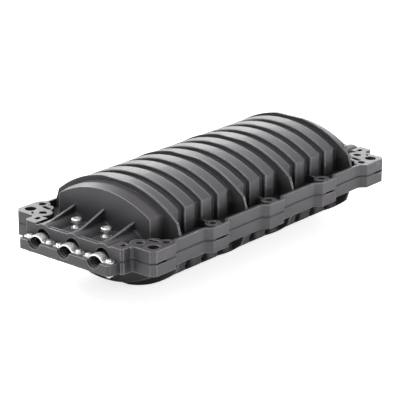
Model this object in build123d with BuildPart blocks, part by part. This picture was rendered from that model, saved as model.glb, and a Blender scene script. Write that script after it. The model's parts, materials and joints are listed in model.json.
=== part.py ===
from build123d import *
from math import sqrt
import os

os.makedirs("parts", exist_ok=True)

# Frame: X runs along the closure, Z is up, and the origin is the centre of the parting plane.
# Driving dimensions, in millimetres

# Arched case
band_pitch = 26.0
band_count = 12
groove_width = 9.5
groove_depth = 5.0
arch_radius = 125.7
arch_half_width = 70.0
crown_height = 55.5
rest_height = 55.0
shoulder_round = 3.4
dome_half_length = 162.0
end_lip_length = 11.0
end_lip_fall = 2.0
band_front_bevel = 0.8
band_rear_round = 3.3
shell_wall = 3.0

# Fins that tie the arch to the flange wall
fin_bands = (1, 5, 8, 12)
fin_thickness = 2.6
fin_half_width = 82.0
fin_proud = 0.8

# Flange
parting_gap = 0.4
plate_thickness = 5.0
flange_height = 13.3
rim_wall = 3.0
wall_half_width = 89.5
flange_half_width = 96.2
flange_half_length = 194.0
port_face_x = 208.0
port_block_half_width = 67.5
boss_spacing = 91.0
boss_half_flat = 12.0
corner_block_x = 160.5
corner_bevel = 5.0
boss_foot_round = 4.0
boss_edge_round = 1.2
block_edge_bevel = 2.5
pry_slot_length = 13.5
pry_slot_height = 2.4
pry_slot_depth = 3.0

# Holes in the flange
corner_hole_x = 181.5
corner_hole_y = 85.2
corner_hole_radius = 6.25
side_bolt_x = 163.3
side_bolt_y = 86.0
end_bolt_x = 181.5
end_bolt_y = 67.0
boss_bolt_y = 85.2
collar_wall = 3.8
end_collar_radius = 10.0
kidney_x = 168.8
kidney_y = 74.5
kidney_length = 13.0
kidney_width = 5.0
kidney_angle = 100.0
kidney_collar_radius = 7.5
core_floor = 4.5
end_slot_x = 188.8
end_slot_y = 75.2
end_slot_length = 6.0
end_slot_width = 2.4
end_slot_angle = 45.0

# Bolts between the halves
bolt_radius = 2.5
bolt_head_radius = 4.1
bolt_head_height = 5.0
bolt_socket_across = 4.0
bolt_socket_depth = 2.5
nut_across_flats = 8.0
nut_height = 4.0
hole_clearance = 0.25

# Cable ports
port_pitch = 41.0
port_rows = (-1, 0, 1)
mouth_radius = 9.3
grommet_radius = 11.0
grommet_bore_radius = 3.3
grommet_length = 34.0
grommet_start = 199.0
grommet_lip_length = 1.5
grommet_lip_outer = (1.2, 1.6)
grommet_lip_inner = (2.8, 2.4)
grommet_lip_bore = 0.8
barrel_front_radius = 14.0
barrel_end_radius = 15.0
barrel_bead_radius = 15.8
barrel_bead_width = 2.5
seat_clearance = 0.05
gusset_thickness = 2.4
gusset_knee_x = 196.7
gusset_knee_height = 14.6
side_gusset_height = 23.5
middle_gusset_height = 28.2
port_block_depth = 17.5
port_block_open = 51.5
web_thickness = 1.8
web_gap = 2.0
web_height = 12.0
pocket_length = 7.0
pocket_width = 5.4
pocket_x = 197.0
pocket_y = 59.3

# Deck screws between the ports
deck_screw_x = 180.0
deck_height = 7.6
deck_screw_radius = 3.0
deck_head_radius = 5.5
deck_head_height = 4.0
deck_head_top = 18.0
deck_head_round = 1.2
deck_neck_radius = 3.9
deck_neck_height = 1.4
deck_socket_across = 4.6
deck_socket_depth = 2.0
toothed_washer_radius = 6.0
toothed_washer_thickness = 1.0
washer_teeth = 12
washer_notch_depth = 1.4
washer_notch_width = 0.9
deck_nut_across = 10.0
deck_nut_height = 5.0

# Cable ledges and saddle clamps
ledge_x = 222.0
ledge_half_width = 62.5
ledge_top = -1.5
ledge_bottom = -12.5
ledge_corner_round = 3.0
trough_radius = 8.8
trough_rib_height = 0.9
trough_rib_width = 1.4
trough_rib_x = (211.5, 215.0, 218.5)
saddle_start = 208.4
saddle_width = 9.8
saddle_thickness = 1.5
saddle_half_length = 19.8
saddle_tip_round = 4.6
saddle_bend = 2.0
saddle_arch_half_width = 8.2
saddle_arch_rise = 5.0
saddle_screw_spacing = 27.6
saddle_screw_radius = 2.0
saddle_head_radius = 2.9
saddle_head_height = 1.8
saddle_head_round = 0.8
saddle_slot_length = 4.35
saddle_slot_width = 1.0
saddle_slot_depth = 0.9
saddle_screw_end = -17.0
saddle_nut_across = 7.0
saddle_nut_height = 3.2

# Sealing strip
seal_width = 6.0
seal_half_height = 2.5
seal_side_clearance = 0.15
seal_y = 76.5
seal_x = 171.0
seal_corner_round = 6.0

# Tray frame and its posts
post_x = 112.0
post_y = 30.0
post_radius = 5.0
post_top = -30.0
post_foot = -45.0
frame_plate = 1.5
frame_half_length = 140.0
frame_half_width = 46.0
frame_lip = 5.0
frame_lip_half_length = 118.0
frame_screw_radius = 1.6
frame_screw_head = 3.2
frame_screw_head_height = 2.0
frame_screw_length = 8.0
frame_slot_width = 0.8
frame_slot_depth = 0.9
frame_strap_gap = 2.0

# Cable brackets, hose clamps and strength-member clamps
bracket_x = 136.0
bracket_plate = 2.0
bracket_foot = 14.0
bracket_foot_half_width = 40.0
bracket_half_width = 56.0
bracket_top = 4.0
bracket_screw_x = 127.0
notch_radius = 7.6
tongue_length = 12.0
tongue_width = 6.0
tongue_top = -7.3
tongue_thickness = 1.5
clamp_band_inner = 9.4
clamp_band_thickness = 0.8
clamp_band_width = 8.0
clamp_band_x = 143.0
clamp_housing_length = 12.0
clamp_housing_height = 4.5
clamp_screw_radius = 2.6
clamp_screw_length = 19.0
grip_block_size = 9.0
grip_block_z = -17.0
grip_block_bevel = 0.8
grip_hole_radius = 1.4
grip_hole_offset = 2.6
grip_screw_radius = 2.0
grip_screw_head = 3.5
grip_screw_head_height = 2.5

# Splice trays
tray_count = 4
tray_length = 172.0
tray_width = 100.0
tray_height = 9.0
tray_wall = 1.6
tray_start_x = -86.0
tray_corner_round = 14.0
tray_hub_radius = 21.0
tray_hub_height = 6.5
tray_hub_x = 52.0
tray_entry_y = 20.0
tray_entry_width = 12.0
tray_tab_length = 7.0
tray_tab_width = 10.0
tray_tab_thickness = 1.2
tray_lug_length = 9.0
tray_lug_width = 8.0
tray_lug_y = 36.0
tray_lug_low = 2.4
tray_lug_top_gap = 0.3
tray_lid_thickness = 1.6
pin_radius = 1.5
pin_clearance = 0.05
pin_setback = 5.0
hinge_cheek_thickness = 4.0
hinge_cheek_length = 10.0
hinge_side_gap = 0.3
hinge_base_length = 20.0
hinge_base_thickness = 2.0
hinge_screw_y = 15.0
holder_length = 34.0
holder_width = 30.0
holder_height = 5.0
holder_slots = 6
holder_slot_width = 2.6
holder_slot_depth = 3.6
strap_x = 24.0
strap_width = 20.0
strap_thickness = 1.2
strap_gap = 0.2
strap_corner_round = 0.4

# Sizes that follow
mating_face = parting_gap / 2
bolt_pocket_radius = bolt_head_radius + hole_clearance
bolt_hole_radius = bolt_radius + hole_clearance
boss_step = flange_half_width - wall_half_width
core_depth = flange_height - core_floor
web_inner_x = port_face_x - 2 * web_thickness - web_gap
inner_inset = groove_depth + shell_wall
band_length = band_pitch - groove_width
leading_edges = [(i + 0.5 - band_count / 2) * band_pitch for i in range(band_count)]
lip_start = dome_half_length - end_lip_length
grommet_end = grommet_start - grommet_length
seat_radius = grommet_radius + seat_clearance
saddle_middle_x = saddle_start + saddle_width / 2
frame_top = post_top + frame_plate
stack_top = frame_top + tray_count * tray_height
tray_centre_x = tray_start_x + tray_length / 2
hinge_x = tray_start_x - pin_setback
pin_levels = [frame_top + (i + 0.5) * tray_height for i in range(tray_count)]
end_signs = (-1, 1)
port_centres = [(end, row * port_pitch) for end in end_signs for row in port_rows]
deck_centres = [(sx * deck_screw_x, sy * port_pitch / 2) for sx in end_signs for sy in (-1, 1)]
boss_centres = [(i * boss_spacing, sy * boss_bolt_y) for i in (-1, 0, 1) for sy in (-1, 1)]
side_bolts = [(sx * side_bolt_x, sy * side_bolt_y) for sx in end_signs for sy in (-1, 1)]
end_bolts = [(sx * end_bolt_x, sy * end_bolt_y) for sx in end_signs for sy in (-1, 1)]
bolt_centres = boss_centres + side_bolts + end_bolts
corner_holes = [(sx * corner_hole_x, sy * corner_hole_y) for sx in end_signs for sy in (-1, 1)]


def save(builder, label):
    builder.part.label = label
    export_step(builder.part, f"parts/{label}.step")


def near(x, y):
    return lambda v: abs(abs(v.X) - x) < 0.01 and abs(abs(v.Y) - y) < 0.01


def near_any(value, wanted):
    return any(abs(value - w) < 0.01 for w in wanted)


def arch_shoulder(inset):
    radius = arch_radius - inset
    half = arch_half_width - inset
    return crown_height - arch_radius + sqrt(radius**2 - half**2)


def arch_profile(inset, foot, mode=Mode.ADD):
    # Upright walls under a shallow arch, as seen along the closure
    half = arch_half_width - inset
    shoulder = arch_shoulder(inset)
    with BuildSketch(mode=Mode.PRIVATE) as section:
        with BuildLine():
            Polyline((-half, shoulder), (-half, foot), (half, foot), (half, shoulder))
            ThreePointArc((-half, shoulder), (0, crown_height - inset), (half, shoulder))
        make_face()
        fillet(section.vertices().group_by(Axis.Y)[-1], shoulder_round)
    add(section.sketch, mode=mode)


def outer_profile(moulding, planes):
    # Edges along the outside of the arch in the given planes, without the floors of the grooves
    level = moulding.edges().filter_by(lambda e: e.bounding_box().size.X < 0.01)
    level = level.filter_by(lambda e: near_any(e.center().X, planes))
    side = arch_half_width - groove_depth + 1
    top = crown_height - groove_depth + 1
    return level.filter_by(lambda e: abs(e.center().Y) > side or e.center().Z > top)


def centred_rows(count, pitch):
    return [(i - (count - 1) / 2) * pitch for i in range(count)]


# Outline of the flange: side walls, bosses, corner blocks and port blocks
with BuildSketch() as flange_outline:
    with BuildLine():
        Polyline(
            (0, 0),
            (0, flange_half_width),
            (boss_half_flat, flange_half_width),
            (boss_half_flat + boss_step, wall_half_width),
            (boss_spacing - boss_half_flat - boss_step, wall_half_width),
            (boss_spacing - boss_half_flat, flange_half_width),
            (boss_spacing + boss_half_flat, flange_half_width),
            (boss_spacing + boss_half_flat + boss_step, wall_half_width),
            (corner_block_x - boss_step, wall_half_width),
            (corner_block_x, flange_half_width),
            (flange_half_length, flange_half_width),
            (flange_half_length, port_block_half_width),
            (port_face_x, port_block_half_width),
            (port_face_x, 0),
            (0, 0),
        )
    make_face()
    mirror(about=Plane.XZ)
    mirror(about=Plane.YZ)
    outer = flange_outline.vertices()
    chamfer(outer.filter_by(near(flange_half_length, flange_half_width)), corner_bevel)
    inner = flange_outline.vertices()
    fillet(inner.filter_by(near(flange_half_length, port_block_half_width)), boss_foot_round)
    ends = flange_outline.vertices()
    chamfer(ends.filter_by(near(port_face_x, port_block_half_width)), block_edge_bevel)
    feet = [boss_half_flat + boss_step, corner_block_x - boss_step]
    feet += [boss_spacing - boss_half_flat - boss_step, boss_spacing + boss_half_flat + boss_step]
    for x in feet:
        fillet(flange_outline.vertices().filter_by(near(x, wall_half_width)), boss_foot_round)
    for x in (boss_half_flat, boss_spacing - boss_half_flat, boss_spacing + boss_half_flat, corner_block_x):
        fillet(flange_outline.vertices().filter_by(near(x, flange_half_width)), boss_edge_round)

# Collars and solid ground round the holes of the flange
with BuildSketch() as flange_collars:
    with Locations(*boss_centres, *side_bolts):
        Circle(bolt_pocket_radius + collar_wall)
    with Locations(*end_bolts):
        Circle(end_collar_radius)
    with Locations(*[(sx * kidney_x, sy * kidney_y) for sx in end_signs for sy in (-1, 1)]):
        Circle(kidney_collar_radius)
    with Locations(*[(i * boss_spacing, 0) for i in (-1, 0, 1)]):
        Rectangle(web_thickness, 2 * boss_bolt_y)
    with BuildLine():
        Polyline(
            (side_bolt_x, flange_half_width),
            (flange_half_length, flange_half_width),
            (flange_half_length, end_bolt_y),
            (end_bolt_x, end_bolt_y),
            (kidney_x, kidney_y),
            (side_bolt_x, side_bolt_y),
            (side_bolt_x, flange_half_width),
        )
    make_face()
    mirror(about=Plane.XZ)
    mirror(about=Plane.YZ)
    with Locations((port_face_x - port_block_depth / 2, 0), (port_block_depth / 2 - port_face_x, 0)):
        Rectangle(port_block_depth, 2 * port_block_half_width)
    add(flange_outline.sketch, mode=Mode.INTERSECT)

# Port barrels, tapering up to the end wall, with a gusset along each crest
with BuildPart() as port_barrels:
    for end, y in port_centres:
        with BuildSketch(Plane.XZ.offset(-y)):
            with BuildLine():
                Polyline(
                    (end * (dome_half_length - shell_wall), 0),
                    (end * (dome_half_length - shell_wall), barrel_bead_radius),
                    (end * (dome_half_length + barrel_bead_width), barrel_bead_radius),
                    (end * (dome_half_length + barrel_bead_width), barrel_end_radius),
                    (end * port_face_x, barrel_front_radius),
                    (end * port_face_x, 0),
                    (end * (dome_half_length - shell_wall), 0),
                )
            make_face()
        revolve(axis=Axis((0, y, 0), (1, 0, 0)))
        gusset_height = middle_gusset_height if y == 0 else side_gusset_height
        with BuildSketch(Plane.XZ.offset(-y)):
            with BuildLine():
                Polyline(
                    (end * (port_face_x - web_thickness), mating_face),
                    (end * (port_face_x - web_thickness), barrel_front_radius),
                    (end * gusset_knee_x, gusset_knee_height),
                    (end * (dome_half_length - shell_wall), gusset_height),
                    (end * (dome_half_length - shell_wall), mating_face),
                    (end * (port_face_x - web_thickness), mating_face),
                )
            make_face()
        extrude(amount=gusset_thickness / 2, both=True)

# Everything that is hollow: the case, the backs of the bands and the port channels
with BuildPart() as inner_space:
    with BuildSketch(Plane.YZ):
        arch_profile(inner_inset, 0)
    extrude(amount=lip_start, both=True)
    with BuildSketch(Plane.YZ):
        arch_profile(inner_inset + end_lip_fall, 0)
    extrude(amount=dome_half_length - shell_wall, both=True)
    for x in leading_edges[:-1]:
        with BuildSketch(Plane.YZ.offset(x + shell_wall)):
            arch_profile(shell_wall, 0)
        extrude(amount=band_length - 2 * shell_wall)
    for end, y in port_centres:
        with BuildSketch(Plane.XZ.offset(-y)):
            with BuildLine():
                Polyline(
                    (end * (dome_half_length - 2 * shell_wall), 0),
                    (end * (dome_half_length - 2 * shell_wall), mouth_radius),
                    (end * grommet_end, mouth_radius),
                    (end * grommet_end, seat_radius),
                    (end * grommet_start, seat_radius),
                    (end * grommet_start, mouth_radius),
                    (end * (port_face_x + 1), mouth_radius),
                    (end * (port_face_x + 1), 0),
                    (end * (dome_half_length - 2 * shell_wall), 0),
                )
            make_face()
        revolve(axis=Axis((0, y, 0), (1, 0, 0)))

# One case half, open side down, without what only the cover or only the base has
with BuildPart() as half_moulding:
    with BuildSketch(Plane.YZ):
        arch_profile(groove_depth, mating_face)
    extrude(amount=lip_start, both=True)

    # Low lips at both ends
    for end in end_signs:
        for x, inset in ((lip_start, groove_depth), (dome_half_length, groove_depth + end_lip_fall)):
            with BuildSketch(Plane.YZ.offset(end * x)):
                arch_profile(inset, mating_face)
        loft(ruled=True)

    # Bands, crisp in front and rounded behind
    for x in leading_edges[:-1]:
        with BuildSketch(Plane.YZ.offset(x)):
            arch_profile(0, mating_face)
        extrude(amount=band_length)
    chamfer(outer_profile(half_moulding, leading_edges[:-1]), band_front_bevel)
    fillet(outer_profile(half_moulding, [x + band_length for x in leading_edges[:-1]]), band_rear_round)

    # Fins across the gutter
    for band in fin_bands:
        proud_radius = arch_radius + fin_proud
        fin_shoulder = crown_height - arch_radius + sqrt(proud_radius**2 - fin_half_width**2)
        fin_foot = wall_half_width - rim_wall
        with BuildSketch(Plane.YZ.offset(leading_edges[band - 1])):
            with BuildLine():
                Polyline(
                    (-fin_half_width, fin_shoulder),
                    (-fin_foot, flange_height - 1),
                    (-fin_foot, mating_face),
                    (fin_foot, mating_face),
                    (fin_foot, flange_height - 1),
                    (fin_half_width, fin_shoulder),
                )
                ThreePointArc(
                    (fin_half_width, fin_shoulder),
                    (0, crown_height + fin_proud),
                    (-fin_half_width, fin_shoulder),
                )
            make_face()
        extrude(amount=fin_thickness)

    # Flat land along the crown, which the closure rests on
    with BuildSketch(Plane.XY.offset(rest_height)):
        Rectangle(2 * dome_half_length, 2 * arch_half_width)
    extrude(amount=groove_depth, mode=Mode.SUBTRACT)

    # Flange plate, rim and collars
    with BuildSketch(Plane.XY.offset(mating_face)):
        add(flange_outline.sketch)
    extrude(amount=plate_thickness - mating_face)
    with BuildSketch(Plane.XY.offset(plate_thickness)):
        add(flange_outline.sketch)
        offset(amount=-rim_wall, mode=Mode.SUBTRACT)
        add(flange_collars.sketch)
        with Locations(*[(end * (port_face_x - port_block_depth / 2), 0) for end in end_signs]):
            Rectangle(port_block_depth, 2 * port_block_open, mode=Mode.SUBTRACT)
    extrude(amount=flange_height - plate_thickness)

    # Webs across the port block, and the raised deck behind them
    with BuildSketch(Plane.XY.offset(plate_thickness)):
        for end in end_signs:
            for step in (0, web_thickness + web_gap):
                with Locations((end * (port_face_x - web_thickness / 2 - step), 0)):
                    Rectangle(web_thickness, 2 * port_block_open)
    extrude(amount=web_height - plate_thickness)
    with BuildSketch(Plane.XY.offset(plate_thickness)):
        deck_start = dome_half_length - shell_wall
        with Locations(*[(end * (deck_start + web_inner_x) / 2, 0) for end in end_signs]):
            Rectangle(web_inner_x - deck_start, 2 * port_pitch)
    extrude(amount=deck_height - plate_thickness)
    add(port_barrels.part)

    # What lies below the mating face goes, and so does the inside
    with BuildSketch(Plane.XY.offset(mating_face)):
        Rectangle(3 * port_face_x, 3 * port_face_x)
    extrude(amount=-3 * barrel_end_radius, mode=Mode.SUBTRACT)
    add(inner_space.part, mode=Mode.SUBTRACT)

    # Groove for the sealing strip
    with BuildSketch(Plane.XY) as seal_track:
        Rectangle(2 * seal_x + seal_width, 2 * seal_y + seal_width)
        fillet(seal_track.vertices(), seal_corner_round + seal_width)
        inner_track = offset(amount=-seal_width, mode=Mode.PRIVATE)
        offset(amount=seal_side_clearance)
        offset(inner_track, amount=-seal_side_clearance, mode=Mode.SUBTRACT)
    extrude(amount=seal_half_height, mode=Mode.SUBTRACT)

    # Holes for the bolts, the deck screws and the corner fixings
    with Locations(*[(x, y, flange_height) for x, y in bolt_centres]):
        CounterBoreHole(bolt_hole_radius, bolt_pocket_radius, flange_height - plate_thickness)
    with Locations(*[(x, y, deck_height) for x, y in deck_centres]):
        Hole(deck_screw_radius + hole_clearance)
    with Locations(*[(x, y, flange_height) for x, y in corner_holes]):
        Hole(corner_hole_radius)

    # Cored pockets that keep the corners light
    with BuildSketch(Plane.XY.offset(flange_height)):
        for sx in end_signs:
            for sy in (-1, 1):
                with Locations(Location((sx * kidney_x, sy * kidney_y, 0), (0, 0, sx * sy * kidney_angle))):
                    SlotOverall(kidney_length, kidney_width)
                slot_turn = -sx * sy * end_slot_angle
                with Locations(Location((sx * end_slot_x, sy * end_slot_y, 0), (0, 0, slot_turn))):
                    SlotOverall(end_slot_length, end_slot_width)
                with Locations((sx * pocket_x, sy * pocket_y)):
                    Rectangle(pocket_length, pocket_width)
    extrude(amount=-core_depth, mode=Mode.SUBTRACT)

    # Pry slots along the parting line
    with BuildSketch(Plane.XY):
        for x in (-corner_hole_x, -boss_spacing, boss_spacing, corner_hole_x):
            with Locations((x, flange_half_width), (x, -flange_half_width)):
                Rectangle(pry_slot_length, 2 * pry_slot_depth)
    extrude(amount=pry_slot_height / 2, mode=Mode.SUBTRACT)

with BuildPart() as upper_cover:
    add(half_moulding.part)
save(upper_cover, "upper_cover")

# Ledges under the saddle clamps, with a ribbed trough for each cable
saddle_points = []
for end, y in port_centres:
    for side in (-1, 1):
        saddle_points.append((end * saddle_middle_x, y + side * saddle_screw_spacing / 2))
with BuildPart() as cable_ledges:
    with BuildSketch(Plane.XY.offset(ledge_bottom)) as ledge_outline:
        for end in end_signs:
            with Locations((end * (ledge_x + port_face_x - web_thickness) / 2, 0)):
                Rectangle(ledge_x - port_face_x + web_thickness, 2 * ledge_half_width)
        fillet(ledge_outline.vertices().filter_by(near(ledge_x, ledge_half_width)), ledge_corner_round)
    extrude(amount=ledge_top - ledge_bottom)
    for end, y in port_centres:
        rib_radius = trough_radius - trough_rib_height
        trough = [(port_face_x - web_thickness - 1, 0), (port_face_x - web_thickness - 1, mouth_radius)]
        trough += [(port_face_x, mouth_radius), (port_face_x, trough_radius)]
        for x in trough_rib_x:
            low = x - trough_rib_width / 2
            high = x + trough_rib_width / 2
            trough += [(low, trough_radius), (low, rib_radius), (high, rib_radius), (high, trough_radius)]
        trough += [(ledge_x + 1, trough_radius), (ledge_x + 1, 0)]
        with BuildSketch(Plane.XZ.offset(-y)):
            with BuildLine():
                Polyline(*[(end * x, r) for x, r in trough], close=True)
            make_face()
        revolve(axis=Axis((0, y, 0), (1, 0, 0)), mode=Mode.SUBTRACT)
    with Locations(*[(x, y, ledge_top) for x, y in saddle_points]):
        Hole(saddle_screw_radius + hole_clearance)

# The base is the same moulding turned end over end, with ledges, nut pockets and posts
with BuildPart() as lower_base:
    add(half_moulding.part, rotation=(0, 180, 0))
    add(cable_ledges.part)

    # Hexagonal pockets that hold the nuts
    with BuildSketch(Plane.XY.offset(-plate_thickness)):
        with Locations(*bolt_centres):
            RegularPolygon(nut_across_flats / 2 + hole_clearance / 2, 6, major_radius=False)
    extrude(amount=plate_thickness - flange_height, mode=Mode.SUBTRACT)

    # Posts for the tray frame
    with BuildSketch(Plane.XY.offset(post_top)):
        with GridLocations(2 * post_x, 2 * post_y, 2, 2):
            Circle(post_radius)
    extrude(amount=post_foot - post_top)
    with Locations(*[(sx * post_x, sy * post_y, post_top) for sx in end_signs for sy in (-1, 1)]):
        Hole(frame_screw_radius, frame_screw_length)
save(lower_base, "lower_base")

# Sealing strip, cut where the grommets take over
with BuildPart() as perimeter_seal:
    with BuildSketch(Plane.XY) as strip:
        Rectangle(2 * seal_x + seal_width, 2 * seal_y + seal_width)
        fillet(strip.vertices(), seal_corner_round + seal_width)
        offset(amount=-seal_width, mode=Mode.SUBTRACT)
        with Locations(*[(end * seal_x, y) for end, y in port_centres]):
            Rectangle(2 * seal_width, 2 * (seat_radius + seal_side_clearance), mode=Mode.SUBTRACT)
    extrude(amount=seal_half_height, both=True)
save(perimeter_seal, "perimeter_seal")

# Ribbed rubber sleeve in each port
for number, (end, y) in enumerate(port_centres, 1):
    with BuildPart() as port_grommet:
        with BuildSketch(Plane.XZ.offset(-y)):
            with BuildLine():
                inner_x = end * grommet_end
                outer_x = end * grommet_start
                lip_x = outer_x - end * grommet_lip_length
                Polyline(
                    (inner_x, grommet_bore_radius),
                    (inner_x, grommet_radius),
                    (outer_x, grommet_radius),
                    (outer_x, grommet_radius - grommet_lip_outer[0]),
                    (lip_x, grommet_radius - grommet_lip_outer[1]),
                    (lip_x, grommet_radius - grommet_lip_inner[1]),
                    (outer_x, grommet_radius - grommet_lip_inner[0]),
                    (outer_x, grommet_bore_radius + grommet_lip_bore),
                    (lip_x, grommet_bore_radius),
                    (inner_x, grommet_bore_radius),
                )
            make_face()
        revolve(axis=Axis((0, y, 0), (1, 0, 0)))
    save(port_grommet, f"port_grommet_{number}")

# Bent strap over each cable trough
for number, (end, y) in enumerate(port_centres, 1):
    with BuildPart() as saddle_clamp:
        with BuildSketch(Plane.YZ.offset(end * saddle_middle_x)):
            with BuildLine() as saddle_line:
                foot = ledge_top + saddle_thickness / 2
                half_arch = saddle_arch_half_width + saddle_thickness / 2
                Line((y - saddle_half_length - 1, foot), (y - half_arch, foot))
                ThreePointArc((y - half_arch, foot), (y, foot + saddle_arch_rise), (y + half_arch, foot))
                Line((y + half_arch, foot), (y + saddle_half_length + 1, foot))
                bends = saddle_line.vertices().filter_by(lambda v: abs(abs(v.X - y) - half_arch) < 0.01)
                fillet(bends, saddle_bend)
                offset(amount=saddle_thickness / 2, side=Side.BOTH)
            make_face()
        extrude(amount=saddle_width / 2, both=True)
        with BuildSketch(Plane.XY.offset(-saddle_half_length)):
            with Locations((end * saddle_middle_x, y)):
                RectangleRounded(saddle_width, 2 * saddle_half_length, saddle_tip_round)
        extrude(amount=2 * saddle_half_length, mode=Mode.INTERSECT)
        lugs = [(end * saddle_middle_x, y + side * saddle_screw_spacing / 2, 0) for side in (-1, 1)]
        with Locations(*lugs):
            Hole(saddle_screw_radius + hole_clearance, mode=Mode.SUBTRACT)
    save(saddle_clamp, f"saddle_clamp_{number}")

with BuildPart() as saddle_screws:
    head_z = ledge_top + saddle_thickness
    with BuildSketch(Plane.XY.offset(head_z)):
        with Locations(*saddle_points):
            Circle(saddle_head_radius)
    extrude(amount=saddle_head_height)
    head_top = head_z + saddle_head_height
    tops = saddle_screws.faces().filter_by(lambda f: abs(f.center().Z - head_top) < 0.01)
    fillet(tops.edges(), saddle_head_round)
    with BuildSketch(Plane.XY.offset(head_top)):
        with Locations(*saddle_points):
            Rectangle(saddle_slot_length, saddle_slot_width)
    extrude(amount=-saddle_slot_depth, mode=Mode.SUBTRACT)
    with BuildSketch(Plane.XY.offset(head_z)):
        with Locations(*saddle_points):
            Circle(saddle_screw_radius)
    extrude(amount=saddle_screw_end - head_z)
save(saddle_screws, "saddle_screws")

with BuildPart() as saddle_nuts:
    with BuildSketch(Plane.XY.offset(ledge_bottom)):
        with Locations(*saddle_points):
            RegularPolygon(saddle_nut_across / 2, 6, major_radius=False)
            Circle(saddle_screw_radius, mode=Mode.SUBTRACT)
    extrude(amount=-saddle_nut_height)
save(saddle_nuts, "saddle_nuts")

# Deck screws, their toothed washers and nuts
deck_seat = deck_height + toothed_washer_thickness
with BuildPart() as deck_screws:
    with BuildSketch(Plane.XY.offset(deck_head_top - deck_head_height)):
        with Locations(*deck_centres):
            Circle(deck_head_radius)
    extrude(amount=deck_head_height)
    tops = deck_screws.faces().filter_by(lambda f: abs(f.center().Z - deck_head_top) < 0.01)
    fillet(tops.edges(), deck_head_round)
    with BuildSketch(Plane.XY.offset(deck_head_top)):
        with Locations(*deck_centres):
            RegularPolygon(deck_socket_across / 2, 6, major_radius=False)
    extrude(amount=-deck_socket_depth, mode=Mode.SUBTRACT)
    with BuildSketch(Plane.XY.offset(deck_seat)):
        with Locations(*deck_centres):
            Circle(deck_neck_radius)
    extrude(amount=deck_neck_height)
    with BuildSketch(Plane.XY.offset(deck_head_top - deck_head_height)):
        with Locations(*deck_centres):
            Circle(deck_screw_radius)
    extrude(amount=-(deck_head_top - deck_head_height + deck_height + deck_nut_height + 1))
save(deck_screws, "deck_screws")

with BuildPart() as deck_washers:
    with BuildSketch(Plane.XY.offset(deck_height)):
        for x, y in deck_centres:
            with Locations((x, y)):
                Circle(toothed_washer_radius)
                with PolarLocations(toothed_washer_radius, washer_teeth):
                    Rectangle(washer_notch_depth, washer_notch_width, mode=Mode.SUBTRACT)
                Circle(deck_screw_radius, mode=Mode.SUBTRACT)
    extrude(amount=toothed_washer_thickness)
save(deck_washers, "deck_washers")

with BuildPart() as deck_nuts:
    with BuildSketch(Plane.XY.offset(-deck_height)):
        with Locations(*deck_centres):
            RegularPolygon(deck_nut_across / 2, 6, major_radius=False)
            Circle(deck_screw_radius, mode=Mode.SUBTRACT)
    extrude(amount=-deck_nut_height)
save(deck_nuts, "deck_nuts")

# Bolts through the flange, heads and nuts below its top and bottom
with BuildPart() as flange_bolts:
    with BuildSketch(Plane.XY.offset(plate_thickness)):
        with Locations(*bolt_centres):
            Circle(bolt_head_radius)
    extrude(amount=bolt_head_height)
    with BuildSketch(Plane.XY.offset(plate_thickness + bolt_head_height)):
        with Locations(*bolt_centres):
            RegularPolygon(bolt_socket_across / 2, 6, major_radius=False)
    extrude(amount=-bolt_socket_depth, mode=Mode.SUBTRACT)
    with BuildSketch(Plane.XY.offset(plate_thickness)):
        with Locations(*bolt_centres):
            Circle(bolt_radius)
    extrude(amount=-(2 * plate_thickness + nut_height + 1))
save(flange_bolts, "flange_bolts")

with BuildPart() as flange_nuts:
    with BuildSketch(Plane.XY.offset(-plate_thickness)):
        with Locations(*bolt_centres):
            RegularPolygon(nut_across_flats / 2, 6, major_radius=False)
            Circle(bolt_radius, mode=Mode.SUBTRACT)
    extrude(amount=-nut_height)
save(flange_nuts, "flange_nuts")

# Folded steel plate that carries the trays and the cable brackets
bracket_screws = [(sx * bracket_screw_x, sy * post_y) for sx in end_signs for sy in (-1, 1)]
hinge_screw_x = hinge_x - hinge_base_length + hinge_cheek_length
hinge_screws = [(hinge_screw_x, sy * hinge_screw_y) for sy in (-1, 1)]
post_screws = [(sx * post_x, sy * post_y) for sx in end_signs for sy in (-1, 1)]
with BuildPart() as tray_frame:
    with BuildSketch(Plane.XY.offset(post_top)):
        Rectangle(2 * frame_half_length, 2 * frame_half_width)
        with Locations(*post_screws, *bracket_screws, *hinge_screws):
            Circle(frame_screw_radius, mode=Mode.SUBTRACT)
    extrude(amount=frame_plate)
    with BuildSketch(Plane.XY.offset(frame_top)):
        Rectangle(2 * frame_lip_half_length, 2 * frame_half_width)
        Rectangle(2 * frame_lip_half_length, 2 * (frame_half_width - frame_plate), mode=Mode.SUBTRACT)
        with Locations((strap_x, 0)):
            Rectangle(strap_width + 2 * frame_strap_gap, 2 * frame_half_width, mode=Mode.SUBTRACT)
    extrude(amount=-frame_lip - frame_plate)
save(tray_frame, "tray_frame")

with BuildPart() as frame_screws:
    plate_screws = bracket_screws + hinge_screws
    for level, points in ((frame_top, post_screws), (frame_top + bracket_plate, plate_screws)):
        with BuildSketch(Plane.XY.offset(level)):
            with Locations(*points):
                Circle(frame_screw_head)
        extrude(amount=frame_screw_head_height)
        with BuildSketch(Plane.XY.offset(level + frame_screw_head_height)):
            with Locations(*points):
                Rectangle(2 * frame_screw_head, frame_slot_width)
        extrude(amount=-frame_slot_depth, mode=Mode.SUBTRACT)
        with BuildSketch(Plane.XY.offset(level)):
            with Locations(*points):
                Circle(frame_screw_radius)
        extrude(amount=-frame_screw_length)
save(frame_screws, "frame_screws")

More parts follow.
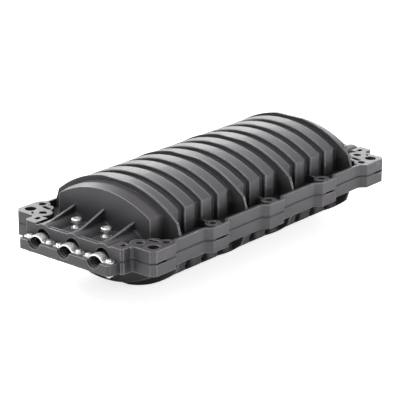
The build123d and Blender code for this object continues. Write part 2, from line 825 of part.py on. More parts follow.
# Upright brackets with a notch and a tongue for each cable
for number, end in enumerate(end_signs, 1):
    with BuildPart() as cable_bracket:
        with BuildSketch(Plane.YZ.offset(end * (bracket_x - bracket_plate / 2))):
            with Locations((0, (frame_top + bracket_top) / 2)):
                RectangleRounded(2 * bracket_half_width, bracket_top - frame_top, bracket_plate)
            for row in port_rows:
                with Locations((row * port_pitch, 0)):
                    Circle(notch_radius, mode=Mode.SUBTRACT)
                with Locations((row * port_pitch, bracket_top / 2)):
                    Rectangle(2 * notch_radius, bracket_top, mode=Mode.SUBTRACT)
                with Locations((row * port_pitch, grip_block_z)):
                    Circle(grip_screw_radius, mode=Mode.SUBTRACT)
        extrude(amount=bracket_plate / 2, both=True)
        with BuildSketch(Plane.XY.offset(frame_top)):
            with Locations((end * (bracket_x - bracket_foot / 2), 0)):
                Rectangle(bracket_foot, 2 * bracket_foot_half_width)
        extrude(amount=bracket_plate)
        foot_top = frame_top + bracket_plate
        with Locations(*[(end * bracket_screw_x, sy * post_y, foot_top) for sy in (-1, 1)]):
            Hole(frame_screw_radius + hole_clearance)
        tongue_x = bracket_x + tongue_length / 2 - bracket_plate / 2
        with BuildSketch(Plane.XY.offset(tongue_top)):
            with Locations(*[(end * tongue_x, row * port_pitch) for row in port_rows]):
                Rectangle(tongue_length + bracket_plate, tongue_width)
        extrude(amount=-tongue_thickness)
    save(cable_bracket, f"cable_bracket_{number}")

# Band and screw housing of each hose clamp
for number, (end, y) in enumerate(port_centres, 1):
    with BuildPart() as hose_clamp:
        outer_band = clamp_band_inner + clamp_band_thickness
        with BuildSketch(Plane.YZ.offset(end * clamp_band_x)):
            with Locations((y, 0)):
                Circle(outer_band)
            with Locations((y, outer_band + clamp_housing_height / 2 - clamp_band_thickness)):
                Rectangle(clamp_housing_length, clamp_housing_height)
            with Locations((y, 0)):
                Circle(clamp_band_inner, mode=Mode.SUBTRACT)
        extrude(amount=clamp_band_width / 2, both=True)
        screw_z = outer_band + clamp_housing_height / 2
        with BuildSketch(Plane.XZ.offset(-y - clamp_screw_length / 2)):
            with Locations((end * clamp_band_x, screw_z)):
                Circle(clamp_screw_radius)
        extrude(amount=clamp_screw_length)
    save(hose_clamp, f"hose_clamp_{number}")

# Blocks that grip the strength members of the cables, and their screws
grip_face_x = bracket_x - bracket_plate
for number, (end, y) in enumerate(port_centres, 1):
    with BuildPart() as strength_clamp:
        with Locations((end * (grip_face_x - grip_block_size / 2), y, grip_block_z)):
            Box(grip_block_size, grip_block_size, grip_block_size)
        chamfer(strength_clamp.edges().filter_by(Axis.X), grip_block_bevel)
        with BuildSketch(Plane.YZ.offset(end * grip_face_x)):
            with Locations((y, grip_block_z)):
                Circle(grip_screw_radius)
        extrude(amount=-end * grip_block_size, mode=Mode.SUBTRACT)
        member_y = y + grip_hole_offset + grip_hole_radius / 2
        with BuildSketch(Plane.XY.offset(grip_block_z - grip_block_size / 2)):
            with Locations((end * (grip_face_x - grip_block_size / 2), member_y)):
                Circle(grip_hole_radius / 2)
        extrude(amount=grip_block_size, mode=Mode.SUBTRACT)
    save(strength_clamp, f"strength_clamp_{number}")

with BuildPart() as strength_screws:
    for end in end_signs:
        head_x = end * (grip_face_x - grip_block_size)
        with BuildSketch(Plane.YZ.offset(head_x)):
            with Locations(*[(row * port_pitch, grip_block_z) for row in port_rows]):
                Circle(grip_screw_head)
        extrude(amount=-end * grip_screw_head_height)
        with BuildSketch(Plane.YZ.offset(head_x)):
            with Locations(*[(row * port_pitch, grip_block_z) for row in port_rows]):
                Circle(grip_screw_radius)
        extrude(amount=end * (grip_block_size + bracket_plate))
save(strength_screws, "strength_screws")

# Hinge post of the trays
cheek_gap = tray_lug_width / 2 + hinge_side_gap
cheek_rows = [side * tray_lug_y + step * (cheek_gap + hinge_cheek_thickness / 2)
              for side in (-1, 1) for step in (-1, 1)]
with BuildPart() as tray_bracket:
    with BuildSketch(Plane.XY.offset(frame_top)):
        with Locations((tray_start_x - hinge_side_gap - hinge_base_length / 2, 0)):
            Rectangle(hinge_base_length, 2 * (tray_lug_y + cheek_gap + hinge_cheek_thickness))
    extrude(amount=hinge_base_thickness)
    with BuildSketch(Plane.XY.offset(frame_top)):
        for y in cheek_rows:
            with Locations((hinge_x, y)):
                Rectangle(hinge_cheek_length - 2 * hinge_side_gap, hinge_cheek_thickness)
    extrude(amount=stack_top - frame_top)
    with Locations(*[(x, y, frame_top + hinge_base_thickness) for x, y in hinge_screws]):
        Hole(frame_screw_radius + hole_clearance)
    for level in pin_levels:
        with BuildSketch(Plane.XZ.offset(-frame_half_width)):
            with Locations((hinge_x, level)):
                Circle(pin_radius)
        extrude(amount=2 * frame_half_width, mode=Mode.SUBTRACT)
save(tray_bracket, "tray_bracket")

with BuildPart() as tray_pins:
    pin_length = 2 * (cheek_gap + hinge_cheek_thickness)
    for side in (-1, 1):
        with BuildSketch(Plane.XZ.offset(-side * tray_lug_y)):
            with Locations(*[(hinge_x, level) for level in pin_levels]):
                Circle(pin_radius)
        extrude(amount=pin_length / 2, both=True)
save(tray_pins, "tray_pins")

# Stack of splice trays, each with its splice holder
hub_centres = [(tray_centre_x + side * tray_hub_x, 0) for side in (-1, 1)]
for number in range(tray_count):
    floor = frame_top + number * tray_height
    with BuildPart() as splice_tray:
        with BuildSketch(Plane.XY.offset(floor)):
            with Locations((tray_centre_x, 0)):
                RectangleRounded(tray_length, tray_width, tray_corner_round)
        extrude(amount=tray_wall)
        with BuildSketch(Plane.XY.offset(floor + tray_wall)) as rim:
            with Locations((tray_centre_x, 0)):
                RectangleRounded(tray_length, tray_width, tray_corner_round)
                offset(amount=-tray_wall, mode=Mode.SUBTRACT)
            with Locations((tray_start_x, tray_entry_y), (tray_start_x, -tray_entry_y)):
                Rectangle(3 * tray_wall, tray_entry_width, mode=Mode.SUBTRACT)
        extrude(amount=tray_height - tray_wall)
        with BuildSketch(Plane.XY.offset(floor + tray_wall)):
            with Locations(*hub_centres):
                Circle(tray_hub_radius)
                Circle(tray_hub_radius - tray_wall, mode=Mode.SUBTRACT)
        extrude(amount=tray_hub_height - tray_wall)
        with BuildSketch(Plane.XY.offset(floor + tray_height)):
            for side in (-1, 1):
                for x in (-tray_hub_x, 0, tray_hub_x):
                    with Locations((tray_centre_x + x, side * (tray_width / 2 - tray_tab_length / 2))):
                        Rectangle(tray_tab_width, tray_tab_length)
        extrude(amount=-tray_tab_thickness)
        with BuildSketch(Plane.XY.offset(floor + tray_lug_low)):
            for side in (-1, 1):
                with Locations((tray_start_x + tray_wall / 2 - tray_lug_length / 2, side * tray_lug_y)):
                    Rectangle(tray_lug_length + tray_wall, tray_lug_width)
        extrude(amount=tray_height - tray_lug_low - tray_lug_top_gap)
        with BuildSketch(Plane.XZ.offset(-tray_width / 2)):
            with Locations((hinge_x, pin_levels[number])):
                Circle(pin_radius + pin_clearance)
        extrude(amount=tray_width, mode=Mode.SUBTRACT)
    save(splice_tray, f"splice_tray_{number + 1}")

    with BuildPart() as splice_holder:
        with BuildSketch(Plane.XY.offset(floor + tray_wall)):
            with Locations((tray_centre_x, 0)):
                Rectangle(holder_length, holder_width)
        extrude(amount=holder_height)
        with BuildSketch(Plane.XY.offset(floor + tray_wall + holder_height)):
            pitch = holder_width / holder_slots
            with Locations(*[(tray_centre_x, y) for y in centred_rows(holder_slots, pitch)]):
                Rectangle(holder_length, holder_slot_width)
        extrude(amount=-holder_slot_depth, mode=Mode.SUBTRACT)
    save(splice_holder, f"splice_holder_{number + 1}")

with BuildPart() as tray_lid:
    with BuildSketch(Plane.XY.offset(stack_top)):
        with Locations((tray_centre_x, 0)):
            RectangleRounded(tray_length, tray_width, tray_corner_round)
        with Locations((tray_centre_x + tray_length / 2, 0)):
            Circle(tray_entry_width / 2, mode=Mode.SUBTRACT)
    extrude(amount=tray_lid_thickness)
save(tray_lid, "tray_lid")

# Band round the frame and the tray stack
with BuildPart() as tray_strap:
    strap_low = post_top - strap_gap
    strap_high = stack_top + tray_lid_thickness + strap_gap
    with BuildSketch(Plane.YZ.offset(strap_x)):
        with Locations((0, (strap_low + strap_high) / 2)):
            inside_width = tray_width + 2 * strap_gap
            inside_height = strap_high - strap_low
            outer_round = strap_corner_round + strap_thickness
            grown = 2 * strap_thickness
            RectangleRounded(inside_width + grown, inside_height + grown, outer_round)
            RectangleRounded(inside_width, inside_height, strap_corner_round, mode=Mode.SUBTRACT)
    extrude(amount=strap_width / 2, both=True)
save(tray_strap, "tray_strap")
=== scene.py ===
import json
import math
import bpy
from mathutils import Matrix, Vector


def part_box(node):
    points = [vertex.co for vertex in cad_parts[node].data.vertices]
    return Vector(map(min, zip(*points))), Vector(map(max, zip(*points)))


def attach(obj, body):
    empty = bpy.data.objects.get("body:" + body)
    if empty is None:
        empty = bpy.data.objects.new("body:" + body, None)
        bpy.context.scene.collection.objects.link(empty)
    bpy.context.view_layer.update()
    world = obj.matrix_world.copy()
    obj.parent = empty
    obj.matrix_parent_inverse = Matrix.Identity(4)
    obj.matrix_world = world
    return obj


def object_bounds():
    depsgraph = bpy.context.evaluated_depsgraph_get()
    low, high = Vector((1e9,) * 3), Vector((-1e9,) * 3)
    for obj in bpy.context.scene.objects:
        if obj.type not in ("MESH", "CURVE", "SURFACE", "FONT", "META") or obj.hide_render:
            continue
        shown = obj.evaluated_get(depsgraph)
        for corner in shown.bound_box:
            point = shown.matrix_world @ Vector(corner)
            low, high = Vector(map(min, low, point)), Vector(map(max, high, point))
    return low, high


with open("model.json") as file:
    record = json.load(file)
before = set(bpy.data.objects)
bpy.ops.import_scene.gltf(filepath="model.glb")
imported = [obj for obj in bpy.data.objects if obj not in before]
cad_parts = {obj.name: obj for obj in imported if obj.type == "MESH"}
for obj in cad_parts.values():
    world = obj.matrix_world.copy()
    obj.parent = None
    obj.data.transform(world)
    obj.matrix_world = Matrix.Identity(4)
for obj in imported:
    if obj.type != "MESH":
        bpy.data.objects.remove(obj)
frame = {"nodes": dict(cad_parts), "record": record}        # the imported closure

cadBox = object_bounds()
scene = bpy.context.scene
print("frame loaded,", len(frame["nodes"]), "nodes")


class Value:  # a node's output, so that sums on it read as plain arithmetic
    def __init__(self, bench, socket):
        self.bench = bench
        self.socket = socket

    def also(self, output):  # another output of the same node
        return Value(self.bench, self.socket.node.outputs[output])

    def maths(self, operation, other=None, swapped=False):
        pair = (other, self) if swapped else (self, other)
        values = {slot: item for slot, item in enumerate(pair) if item is not None}
        return self.bench.node("ShaderNodeMath", {"operation": operation}, values)

    def __add__(self, other):
        return self.maths("ADD", other)

    def __sub__(self, other):
        return self.maths("SUBTRACT", other)

    def __rsub__(self, other):
        return self.maths("SUBTRACT", other, swapped=True)

    def __mul__(self, other):
        return self.maths("MULTIPLY", other)

    __radd__ = __add__
    __rmul__ = __mul__

    def smooth(self, low, high):  # 0 below low, 1 above high
        values = {"Value": self, "From Min": low, "From Max": high}
        settings = {"interpolation_type": "SMOOTHSTEP"}
        return self.bench.node("ShaderNodeMapRange", settings, values, "Result")


class Bench:  # puts nodes in one tree
    def __init__(self, tree):
        self.tree = tree

    def node(self, kind, settings=None, values=None, output=0):
        node = self.tree.nodes.new(kind)
        for key, setting in (settings or {}).items():
            setattr(node, key, setting)
        for key, value in (values or {}).items():
            if isinstance(value, Value):
                self.tree.links.new(value.socket, node.inputs[key])
            else:
                node.inputs[key].default_value = value
        return Value(self, node.outputs[output]) if len(node.outputs) else node


softSamples = 6  # rays for rounded edges and for shaded corners


class Finish(Bench):  # one material
    def __init__(self, name):
        self.material = bpy.data.materials.new(name)
        self.material.use_nodes = True
        super().__init__(self.material.node_tree)
        self.tree.nodes.clear()
        self.place = self.node("ShaderNodeTexCoord", output="Object")

    def part(self, axis):
        return self.node("ShaderNodeSeparateXYZ", values={"Vector": self.place}, output=axis)

    def noise(self, scale, detail, stretch=None):
        place = self.place
        if stretch:
            place = self.node("ShaderNodeMapping", values={"Vector": place, "Scale": stretch})
        values = {"Vector": place, "Scale": scale, "Detail": detail}
        return self.node("ShaderNodeTexNoise", values=values)

    def patches(self, scale, detail, low, high, stretch=None):  # noise between two levels
        return self.noise(scale, detail, stretch).smooth(low, high)

    def threads(self, direction, scale):
        settings = {"wave_type": "BANDS", "bands_direction": direction}
        values = {"Vector": self.place, "Scale": scale}
        return self.node("ShaderNodeTexWave", settings, values, "Fac")

    def mix(self, amount, first, second):
        values = {0: amount, 6: first, 7: second}  # a Mix node's sockets for colours
        return self.node("ShaderNodeMix", {"data_type": "RGBA"}, values, output=2)

    def edges(self, radius):  # rounded normal, and how far it leans away from the flat one
        rounded = self.node("ShaderNodeBevel", {"samples": softSamples}, {"Radius": radius})
        return rounded, 1.0 - self.alike(rounded, self.flat())

    def flat(self):
        return self.node("ShaderNodeNewGeometry", output="Normal")

    def alike(self, first, second):  # cosine of the angle between two normals
        settings = {"operation": "DOT_PRODUCT"}
        return self.node("ShaderNodeVectorMath", settings, {0: first, 1: second}, "Value")

    def unit(self, vector):
        return self.node("ShaderNodeVectorMath", {"operation": "NORMALIZE"}, {0: vector})

    def arched(self, rounded, lean, axisDepth, angles, leans):  # true normal on an arch's facets
        height = self.part("Z")
        rise = height + height.maths("SIGN") * axisDepth
        outward = self.node("ShaderNodeCombineXYZ", values={"Y": self.part("Y"), "Z": rise})
        radial = self.unit(outward)
        wide, narrow = (math.cos(math.radians(angle)) for angle in angles)
        amount = self.alike(radial, self.flat()).smooth(wide, narrow) * (1.0 - lean.smooth(*leans))
        values = {0: amount, 4: rounded, 5: radial}  # and its sockets for vectors
        return self.unit(self.node("ShaderNodeMix", {"data_type": "VECTOR"}, values, output=1))

    def open(self, reach):  # 1 on flats and outer edges, about half in inner corners
        settings = {"samples": softSamples}
        return self.node("ShaderNodeAmbientOcclusion", settings, {"Distance": reach}, "AO")

    def bump(self, height, normal, depth, strength):
        values = {"Height": height, "Distance": depth, "Strength": strength, "Normal": normal}
        return self.node("ShaderNodeBump", values=values)

    def done(self, colour, roughness, normal, fixed=None):
        values = {"Base Color": colour, "Roughness": roughness, "Normal": normal}
        values.update(fixed or {})
        skin = self.node("ShaderNodeBsdfPrincipled", values=values)
        self.node("ShaderNodeOutputMaterial", values={"Surface": skin})
        return self.material


casePlastic = {
    "body": (0.043, 0.040, 0.044, 1),
    "paintedHighlight": (0.300, 0.292, 0.302, 1),      # painted highlight along outer edges
    "clouded": (0.056, 0.052, 0.057, 1),   # faint flow marks
    "corner": (0.017, 0.016, 0.018, 1),    # painted shade for inner corners and gutter walls, also the dark joint of the halves
    "roughness": 0.36,
    "fixed": {"Specular IOR Level": 0.4},
    "edgeRadius": 0.0012,
    "arch": {
        "axisDepth": 0.0702,               # of each arch's axis, past the parting plane
        "angles": (5.0, 2.8),              # degrees from the arch's own normal
        "leans": (0.001, 0.01),            # past these a rounded edge keeps its normal
    },
    "cloud": {"scale": 28, "detail": 4, "low": 0.35, "high": 0.75},
    "cloudShare": 0.6,
    "streak": {"scale": 9, "detail": 3, "low": 0.4, "high": 0.7, "stretch": (0.6, 3.0, 3.0)},
    "streakShare": 0.3,
    "cornerReach": 0.005,
    "cornerShade": (0.35, 0.95),
    "parting": (0.0007, 0.0015),           # the joint of the halves stays dark
    "gutterReach": 0.035,                  # painted shade: walls along the gutter are painted darker than open ones
    "gutterShade": (0.6, 0.97),
    "highlightPatches": {"scale": 140, "detail": 4, "low": 0.3, "high": 0.6},
    "highlightPatchShare": 0.35,                     # share of the painted edge highlight that comes in patches, the rest is even
    "highlightLean": (0.003, 0.07),           # how far an edge leans where the painted highlight starts, and where it is full
    "highlightOpen": (0.7, 0.9),              # the painted highlight stays off inner corners
    "highlightShare": 0.8,
    "grain": {"scale": 2600, "detail": 2},  # moulded texture, per metre
    "grainBump": {"depth": 0.00003, "strength": 0.35},
    "rougher": {"cloud": 0.05, "grain": 0.06, "gutter": 0.2},
    "smoother": 0.08,                      # where the painted edge highlight is
}


def makeCasePlastic():
    look = casePlastic
    rougher = look["rougher"]
    skin = Finish("moulded black plastic")
    rounded, lean = skin.edges(look["edgeRadius"])
    rounded = skin.arched(rounded, lean, **look["arch"])
    cloud = skin.patches(**look["cloud"])
    marks = cloud * look["cloudShare"] + skin.patches(**look["streak"]) * look["streakShare"]
    colour = skin.mix(marks, look["body"], look["clouded"])
    openness = skin.open(look["cornerReach"])
    apart = skin.part("Z").maths("ABSOLUTE").smooth(*look["parting"])
    # painted shade: inner corners take the dark colour, and so does the joint of the halves
    colour = skin.mix(openness.smooth(*look["cornerShade"]) * apart, look["corner"], colour)
    # painted shade: gutter walls, which get less light from the floor, take the dark colour
    gutterUnshaded = skin.open(look["gutterReach"]).smooth(*look["gutterShade"])
    colour = skin.mix(gutterUnshaded, look["corner"], colour)
    # painted highlight: outer edges turn pale, in patches, away from inner corners and the joint
    highlightPatchiness = skin.patches(**look["highlightPatches"]) * look["highlightPatchShare"] + (1.0 - look["highlightPatchShare"])
    bright = openness.smooth(*look["highlightOpen"])
    paintedEdgeHighlight = lean.smooth(*look["highlightLean"]) * bright * apart * highlightPatchiness
    colour = skin.mix(paintedEdgeHighlight * look["highlightShare"], colour, look["paintedHighlight"])
    grain = skin.noise(**look["grain"])
    roughness = look["roughness"] + cloud * rougher["cloud"] + grain * rougher["grain"]
    roughness = roughness - paintedEdgeHighlight * look["smoother"] + (1.0 - gutterUnshaded) * rougher["gutter"]
    normal = skin.bump(grain, rounded, **look["grainBump"])
    return skin.done(colour, roughness, normal, look["fixed"])


sleeveRubber = {
    "name": "sleeve rubber",
    "colours": [(0.012, 0.012, 0.013, 1), (0.03, 0.03, 0.031, 1)],  # body, bloom
    "colourShare": 0.6,
    "patch": {"scale": 180, "detail": 5, "low": 0.45, "high": 0.8},
    "grain": {"scale": 3200, "detail": 2},
    "bump": {"depth": 0.00006, "strength": 0.3},
    "roughness": 0.7,
    "patchRoughness": 0.12,
    "grainRoughness": 0.0,
    "edgeRadius": 0.0004,
    "fixed": {},
}
zincSteel = {
    "name": "zinc plated steel",
    "colours": [(0.78, 0.78, 0.77, 1), (0.56, 0.57, 0.58, 1)],  # bright, dull
    "colourShare": 0.4,
    "patch": {"scale": 420, "detail": 4, "low": 0.35, "high": 0.75},
    "grain": {"scale": 1500, "detail": 3, "stretch": (0.15, 1, 1)},
    "bump": {"depth": 0.00001, "strength": 0.2},
    "roughness": 0.3,
    "patchRoughness": 0.08,
    "grainRoughness": 0.06,
    "edgeRadius": 0.0003,
    "fixed": {"Metallic": 1.0},
}
clampBrass = {
    "name": "turned brass",
    "colours": [(0.78, 0.6, 0.3, 1), (0.5, 0.37, 0.18, 1)],  # bright, stained
    "colourShare": 0.7,
    "patch": {"scale": 350, "detail": 4, "low": 0.4, "high": 0.75},
    "grain": {"scale": 2400, "detail": 2, "stretch": (0.2, 1, 1)},
    "bump": {"depth": 0.00002, "strength": 0.3},
    "roughness": 0.28,
    "patchRoughness": 0.15,
    "grainRoughness": 0.0,
    "edgeRadius": 0.0003,
    "fixed": {"Metallic": 1.0},
}
trayPlastic = {
    "name": "pale tray plastic",
    "colours": [(0.72, 0.74, 0.75, 1), (0.6, 0.63, 0.65, 1)],  # body, shade
    "colourShare": 0.5,
    "patch": {"scale": 40, "detail": 3, "low": 0.35, "high": 0.75},
    "grain": {"scale": 2800, "detail": 2},
    "bump": {"depth": 0.00004, "strength": 0.3},
    "roughness": 0.42,
    "patchRoughness": 0.0,
    "grainRoughness": 0.08,
    "edgeRadius": 0.0004,
    "fixed": {},
}
holderPlastic = {
    "name": "blue holder plastic",
    "colours": [(0.06, 0.16, 0.38, 1), (0.04, 0.11, 0.28, 1)],  # body, shade
    "colourShare": 0.6,
    "patch": {"scale": 120, "detail": 3, "low": 0.35, "high": 0.75},
    "grain": {"scale": 3000, "detail": 2},
    "bump": {"depth": 0.00004, "strength": 0.3},
    "roughness": 0.5,
    "patchRoughness": 0.0,
    "grainRoughness": 0.1,
    "edgeRadius": 0.0003,
    "fixed": {},
}


def makePatchy(look):  # two colours in patches, under a fine grain
    skin = Finish(look["name"])
    rounded = skin.edges(look["edgeRadius"])[0]
    patch = skin.patches(**look["patch"])
    colour = skin.mix(patch * look["colourShare"], *look["colours"])
    grain = skin.noise(**look["grain"])
    roughness = look["roughness"] + patch * look["patchRoughness"] + grain * look["grainRoughness"]
    return skin.done(colour, roughness, skin.bump(grain, rounded, **look["bump"]), look["fixed"])


innerSteel = {
    "bright": (0.66, 0.67, 0.69, 1),
    "dull": (0.42, 0.43, 0.45, 1),
    "spangle": 260.0,                      # zinc crystals, per metre
    "spangleShare": 0.8,
    "wave": {"scale": 900, "detail": 3},
    "waveBump": {"depth": 0.00003, "strength": 0.25},
    "roughness": 0.32,
    "spangleRoughness": 0.15,
    "edgeRadius": 0.0003,
}


def makeInnerSteel():
    look = innerSteel
    skin = Finish("galvanised sheet")
    rounded = skin.edges(look["edgeRadius"])[0]
    spots = {"Vector": skin.place, "Scale": look["spangle"]}
    cells = skin.node("ShaderNodeTexVoronoi", values=spots, output="Color")
    spangle = skin.node("ShaderNodeSeparateColor", values={"Color": cells})
    colour = skin.mix(spangle * look["spangleShare"], look["bright"], look["dull"])
    roughness = look["roughness"] + spangle * look["spangleRoughness"]
    normal = skin.bump(skin.noise(**look["wave"]), rounded, **look["waveBump"])
    return skin.done(colour, roughness, normal, {"Metallic": 1.0})


lidPlastic = {
    "body": (0.70, 0.74, 0.77, 1),
    "edge": (0.45, 0.52, 0.57, 1),
    "edgeLean": (0.02, 0.4),
    "haze": {"scale": 60, "detail": 3, "low": 0.4, "high": 0.8},
    "scuff": {"scale": 700, "detail": 4, "stretch": (0.2, 1, 1)},
    "scuffBump": {"depth": 0.00001, "strength": 0.2},
    "roughness": 0.1,
    "hazeRoughness": 0.12,
    "edgeRadius": 0.0005,
    "fixed": {"Transmission Weight": 0.6, "IOR": 1.5},
}


def makeLidPlastic():
    look = lidPlastic
    skin = Finish("clear lid plastic")
    rounded, lean = skin.edges(look["edgeRadius"])
    colour = skin.mix(lean.smooth(*look["edgeLean"]), look["body"], look["edge"])
    roughness = look["roughness"] + skin.patches(**look["haze"]) * look["hazeRoughness"]
    normal = skin.bump(skin.noise(**look["scuff"]), rounded, **look["scuffBump"])
    return skin.done(colour, roughness, normal, look["fixed"])


strapFabric = {
    "body": (0.02, 0.02, 0.022, 1),
    "thread": (0.06, 0.06, 0.065, 1),
    "warp": 900,                           # threads, per metre
    "weft": 630,
    "weaveBump": {"depth": 0.0001, "strength": 0.6},
    "roughness": 0.85,
    "weaveRoughness": 0.1,
    "edgeRadius": 0.0004,
}


def makeStrapFabric():
    look = strapFabric
    skin = Finish("woven strap")
    weave = skin.threads("X", look["warp"]) * skin.threads("DIAGONAL", look["weft"])
    colour = skin.mix(weave, look["body"], look["thread"])
    rounded = skin.edges(look["edgeRadius"])[0]
    normal = skin.bump(weave, rounded, **look["weaveBump"])
    return skin.done(colour, look["roughness"] - weave * look["weaveRoughness"], normal)


finishes = {
    "case": makeCasePlastic(),
    "rubber": makePatchy(sleeveRubber),
    "zinc_steel": makePatchy(zincSteel),
    "inner_steel": makeInnerSteel(),
    "clamp_brass": makePatchy(clampBrass),
    "tray_plastic": makePatchy(trayPlastic),
    "holder_plastic": makePatchy(holderPlastic),
    "lid_plastic": makeLidPlastic(),
    "strap_fabric": makeStrapFabric(),
}
nodeSlots = {entry["node"]: entry["material_slot"] for entry in frame["record"]["subparts"]}
for name, item in frame["nodes"].items():
    item.data.materials.clear()
    item.data.materials.append(finishes[nodeSlots[name]])
print("finishes on", len(nodeSlots), "nodes")


class Sprout(Bench):  # one Geometry Nodes tree, with named inputs
    def __init__(self, name, inputs):
        super().__init__(bpy.data.node_groups.new(name, "GeometryNodeTree"))
        self.name = name
        self.inputs = inputs
        self.opening("Geometry", "INPUT", "NodeSocketGeometry")
        for label in inputs:
            self.opening(label, "INPUT", "NodeSocketFloat")
        self.opening("Geometry", "OUTPUT", "NodeSocketGeometry")
        self.start = self.node("NodeGroupInput")

    def opening(self, label, way, kind):
        self.tree.interface.new_socket(label, in_out=way, socket_type=kind)

    def onPoints(self, points, shape, rotation=(0, 0, 0)):
        values = {"Points": points, "Instance": shape, "Rotation": rotation}
        return self.node("GeometryNodeInstanceOnPoints", values=values)

    def grow(self, shape, points, slot):  # the shape on every point, as one plain mesh
        spread = self.onPoints(self.start.also("Geometry"), shape)
        whole = self.node("GeometryNodeRealizeInstances", values={"Geometry": spread})
        values = {"Geometry": whole, "Material": finishes[slot]}
        dressed = self.node("GeometryNodeSetMaterial", values=values)
        self.node("NodeGroupOutput", values={0: dressed})
        seed = bpy.data.meshes.new(self.name + " points")
        seed.from_pydata(points, [], [])
        holder = bpy.data.objects.new(self.name + " seed", seed)
        scene.collection.objects.link(holder)
        modifier = holder.modifiers.new("grow", "NODES")
        modifier.node_group = self.tree
        for item in self.tree.interface.items_tree:
            if item.in_out == "INPUT" and item.name in self.inputs:
                modifier[item.identifier] = float(self.inputs[item.name])
        bpy.context.view_layer.update()
        ready = holder.evaluated_get(bpy.context.evaluated_depsgraph_get())
        mesh = bpy.data.meshes.new_from_object(ready)
        bpy.data.objects.remove(holder)
        piece = bpy.data.objects.new(self.name, mesh)
        scene.collection.objects.link(piece)
        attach(piece, "root")
        print(self.name, len(mesh.polygons), "faces")


def axesOf(nodeName, apart=0.006):  # the middle of each screw of a group, seen from above
    groups = []
    for vertex in frame["nodes"][nodeName].data.vertices:
        spot = vertex.co.to_2d()
        for group in groups:
            if (group["low"] + group["high"] - 2 * spot).length < 2 * apart:
                group["low"] = Vector(map(min, group["low"], spot))
                group["high"] = Vector(map(max, group["high"], spot))
                break
        else:
            groups.append({"low": spot.copy(), "high": spot.copy()})
    return [(group["low"] + group["high"]) / 2 for group in groups]


screwThread = {
    "saddleRadius": 0.00195,
    "deckRadius": 0.00295,
    "pitch": 0.0007,
    "depth": 0.0003,
    "tipGap": 0.0003,         # the thread starts above the screw's tip
    "nutGap": 0.0001,         # and ends below its nut
    "turnSteps": 24,
    "profileSides": 4,
}


def makeThreads(name, screws, tip, nut, radius):  # from the screws' tips up to their nuts
    low = tip[0].z + screwThread["tipGap"]
    height = nut[0].z - screwThread["nutGap"] - low
    tree = Sprout(name, {"Turns": height / screwThread["pitch"], "Radius": radius,
                         "Depth": screwThread["depth"], "Height": height})
    given = tree.start.also
    helix = tree.node("GeometryNodeCurveSpiral", values={
        "Resolution": screwThread["turnSteps"], "Rotations": given("Turns"),
        "Start Radius": given("Radius"), "End Radius": given("Radius"), "Height": given("Height")})
    edge = tree.node("GeometryNodeCurvePrimitiveCircle", values={
        "Resolution": screwThread["profileSides"], "Radius": given("Depth")})
    ridge = tree.node("GeometryNodeCurveToMesh", values={
        "Curve": helix, "Profile Curve": edge, "Fill Caps": True})
    tree.grow(ridge, [(spot.x, spot.y, low) for spot in axesOf(screws)], "zinc_steel")


makeThreads("saddleThreads", "saddle_screws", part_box("saddle_screws"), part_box("saddle_nuts"),
            screwThread["saddleRadius"])
makeThreads("deckThreads", "deck_screws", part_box("deck_screws"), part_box("deck_nuts"),
            screwThread["deckRadius"])

saddleRidges = {
    "ridges": 6,              # along the arch of each strap
    "radius": 0.01126,        # outside of the arch
    "sweep": 1.15,            # radians covered
    "length": 0.0014,
    "thickness": 0.0007,
    "columns": (-0.0026, 0.0, 0.0026),
    "centre": -0.00626,       # height of the arch's axis
    "straps": 6,
    "archSteps": 48,
}


def makeRidges():
    ridges = saddleRidges
    tree = Sprout("saddleRidges", {"Ridges": ridges["ridges"], "Radius": ridges["radius"],
                                   "Sweep": ridges["sweep"], "Length": ridges["length"],
                                   "Thickness": ridges["thickness"]})
    given = tree.start.also
    arch = tree.node("GeometryNodeCurveArc", {"mode": "RADIUS"}, {
        "Resolution": ridges["archSteps"], "Radius": given("Radius"),
        "Start Angle": given("Sweep") * -0.5 + math.pi / 2, "Sweep Angle": given("Sweep")})
    steps = tree.node("GeometryNodeCurveToPoints", {"mode": "COUNT"}, {
        "Curve": arch, "Count": given("Ridges")})
    size = tree.node("ShaderNodeCombineXYZ", values={
        "X": given("Thickness"), "Y": given("Length"), "Z": given("Thickness")})
    stud = tree.node("GeometryNodeMeshCube", values={"Size": size})
    row = tree.onPoints(steps, stud, steps.also("Rotation"))
    upright = tree.node("GeometryNodeTransform", values={
        "Geometry": row, "Rotation": (math.pi / 2, 0, math.pi / 2)})
    points = []
    for number in range(1, ridges["straps"] + 1):
        low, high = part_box(f"saddle_clamp_{number}")
        middle = (low + high) / 2
        for column in ridges["columns"]:
            points.append((middle.x + column, middle.y, ridges["centre"]))
    tree.grow(upright, points, "zinc_steel")


makeRidges()

studio = {
    "floor": (0.86, 0.86, 0.86, 1),
    "floorReach": 6.0,
    "floorGlow": 0.76,        # only for the camera, the shadow stays
    "sky": (1, 1, 1, 1),
    "skyForSight": 1.0,
    "skyForLight": 0.55,
}


def makeStage():
    mesh = bpy.data.meshes.new("studio floor")
    reach = studio["floorReach"]
    corners = [(-reach, -reach), (reach, -reach), (reach, reach), (-reach, reach)]
    mesh.from_pydata([(x, y, cadBox[0].z) for x, y in corners], [], [(0, 1, 2, 3)])
    floor = bpy.data.objects.new("studio floor", mesh)
    scene.collection.objects.link(floor)
    paint = Finish("studio floor")
    seen = paint.node("ShaderNodeLightPath", output="Is Camera Ray")
    matt = paint.node("ShaderNodeBsdfDiffuse", values={"Color": studio["floor"]})
    glow = paint.node("ShaderNodeEmission", values={"Strength": seen * studio["floorGlow"]})
    both = paint.node("ShaderNodeAddShader", values={0: matt, 1: glow})
    paint.node("ShaderNodeOutputMaterial", values={"Surface": both})
    mesh.materials.append(paint.material)


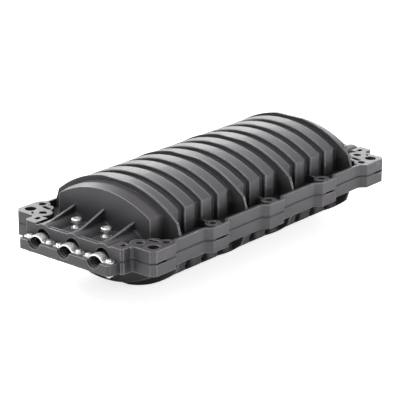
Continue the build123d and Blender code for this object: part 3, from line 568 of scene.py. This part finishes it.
def makeWorld():
    world = bpy.data.worlds.new("soft box")
    world.use_nodes = True
    scene.world = world
    world.node_tree.nodes.clear()
    bench = Bench(world.node_tree)
    direct = bench.node("ShaderNodeLightPath", output="Is Camera Ray")
    seen = direct + direct.also("Is Glossy Ray") + direct.also("Is Transmission Ray")
    gain = studio["skyForSight"] - studio["skyForLight"]
    light = seen.maths("MINIMUM", 1.0) * gain + studio["skyForLight"]
    sky = bench.node("ShaderNodeBackground", values={"Color": studio["sky"], "Strength": light})
    bench.node("ShaderNodeOutputWorld", values={"Surface": sky})


lamps = {
    "strip": {
        "from": (-0.50, 0.80, 1.05), "along": (0.61, 1.01, -0.52),
        "size": (2.2, 0.35), "power": 38,
    },
    "rear": {"from": (1.3, 1.1, 0.6), "along": (0.65, -0.76, 0), "size": (1.8, 0.6), "power": 16},
    "front": {"from": (0.6, -1.5, 0.4), "along": (1, 0.4, 0), "size": (1.4, 0.6), "power": 8},
    "bounce": {               # lights only the floor in front, which lights the flange
        "from": (-0.1, -0.62, 0.9), "along": (1, 0, 0),
        "size": (1.4, 0.5), "power": 18, "downSpread": 0.5,
    },
}


def makeLamps():
    for name, setup in lamps.items():
        data = bpy.data.lights.new(name, "AREA")
        data.shape = "RECTANGLE"
        data.size, data.size_y = setup["size"]
        data.energy = setup["power"]
        back = Vector(setup["from"]).normalized()
        if "downSpread" in setup:
            back = Vector((0, 0, 1))
            data.spread = setup["downSpread"]
        side = Vector(setup["along"])
        side = (side - back * side.dot(back)).normalized()
        turned = Matrix((side, back.cross(side), back)).transposed().to_4x4()
        turned.translation = setup["from"]
        lamp = bpy.data.objects.new(name, data)
        lamp.matrix_world = turned
        scene.collection.objects.link(lamp)


photoCamera = {               # solved from the closure's straight edges
    "place": (-1.4962, -1.2671, 0.6915),
    "yaw": 40.48,             # degrees
    "pitch": -19.60,
    "lens": 173.75,           # millimetres
    "sensor": 36.0,
}


def makeCamera():
    data = bpy.data.cameras.new("photo view")
    data.lens = photoCamera["lens"]
    data.sensor_width = photoCamera["sensor"]
    camera = bpy.data.objects.new("photo view", data)
    yaw = math.radians(photoCamera["yaw"])
    pitch = math.radians(photoCamera["pitch"])
    level = math.cos(pitch)
    forward = Vector((math.cos(yaw) * level, math.sin(yaw) * level, math.sin(pitch)))
    camera.location = photoCamera["place"]
    camera.rotation_euler = forward.to_track_quat("-Z", "Y").to_euler()
    scene.collection.objects.link(camera)
    scene.camera = camera


makeStage()
makeWorld()
makeLamps()
makeCamera()
scene.view_settings.view_transform = "Standard"
print("studio ready")
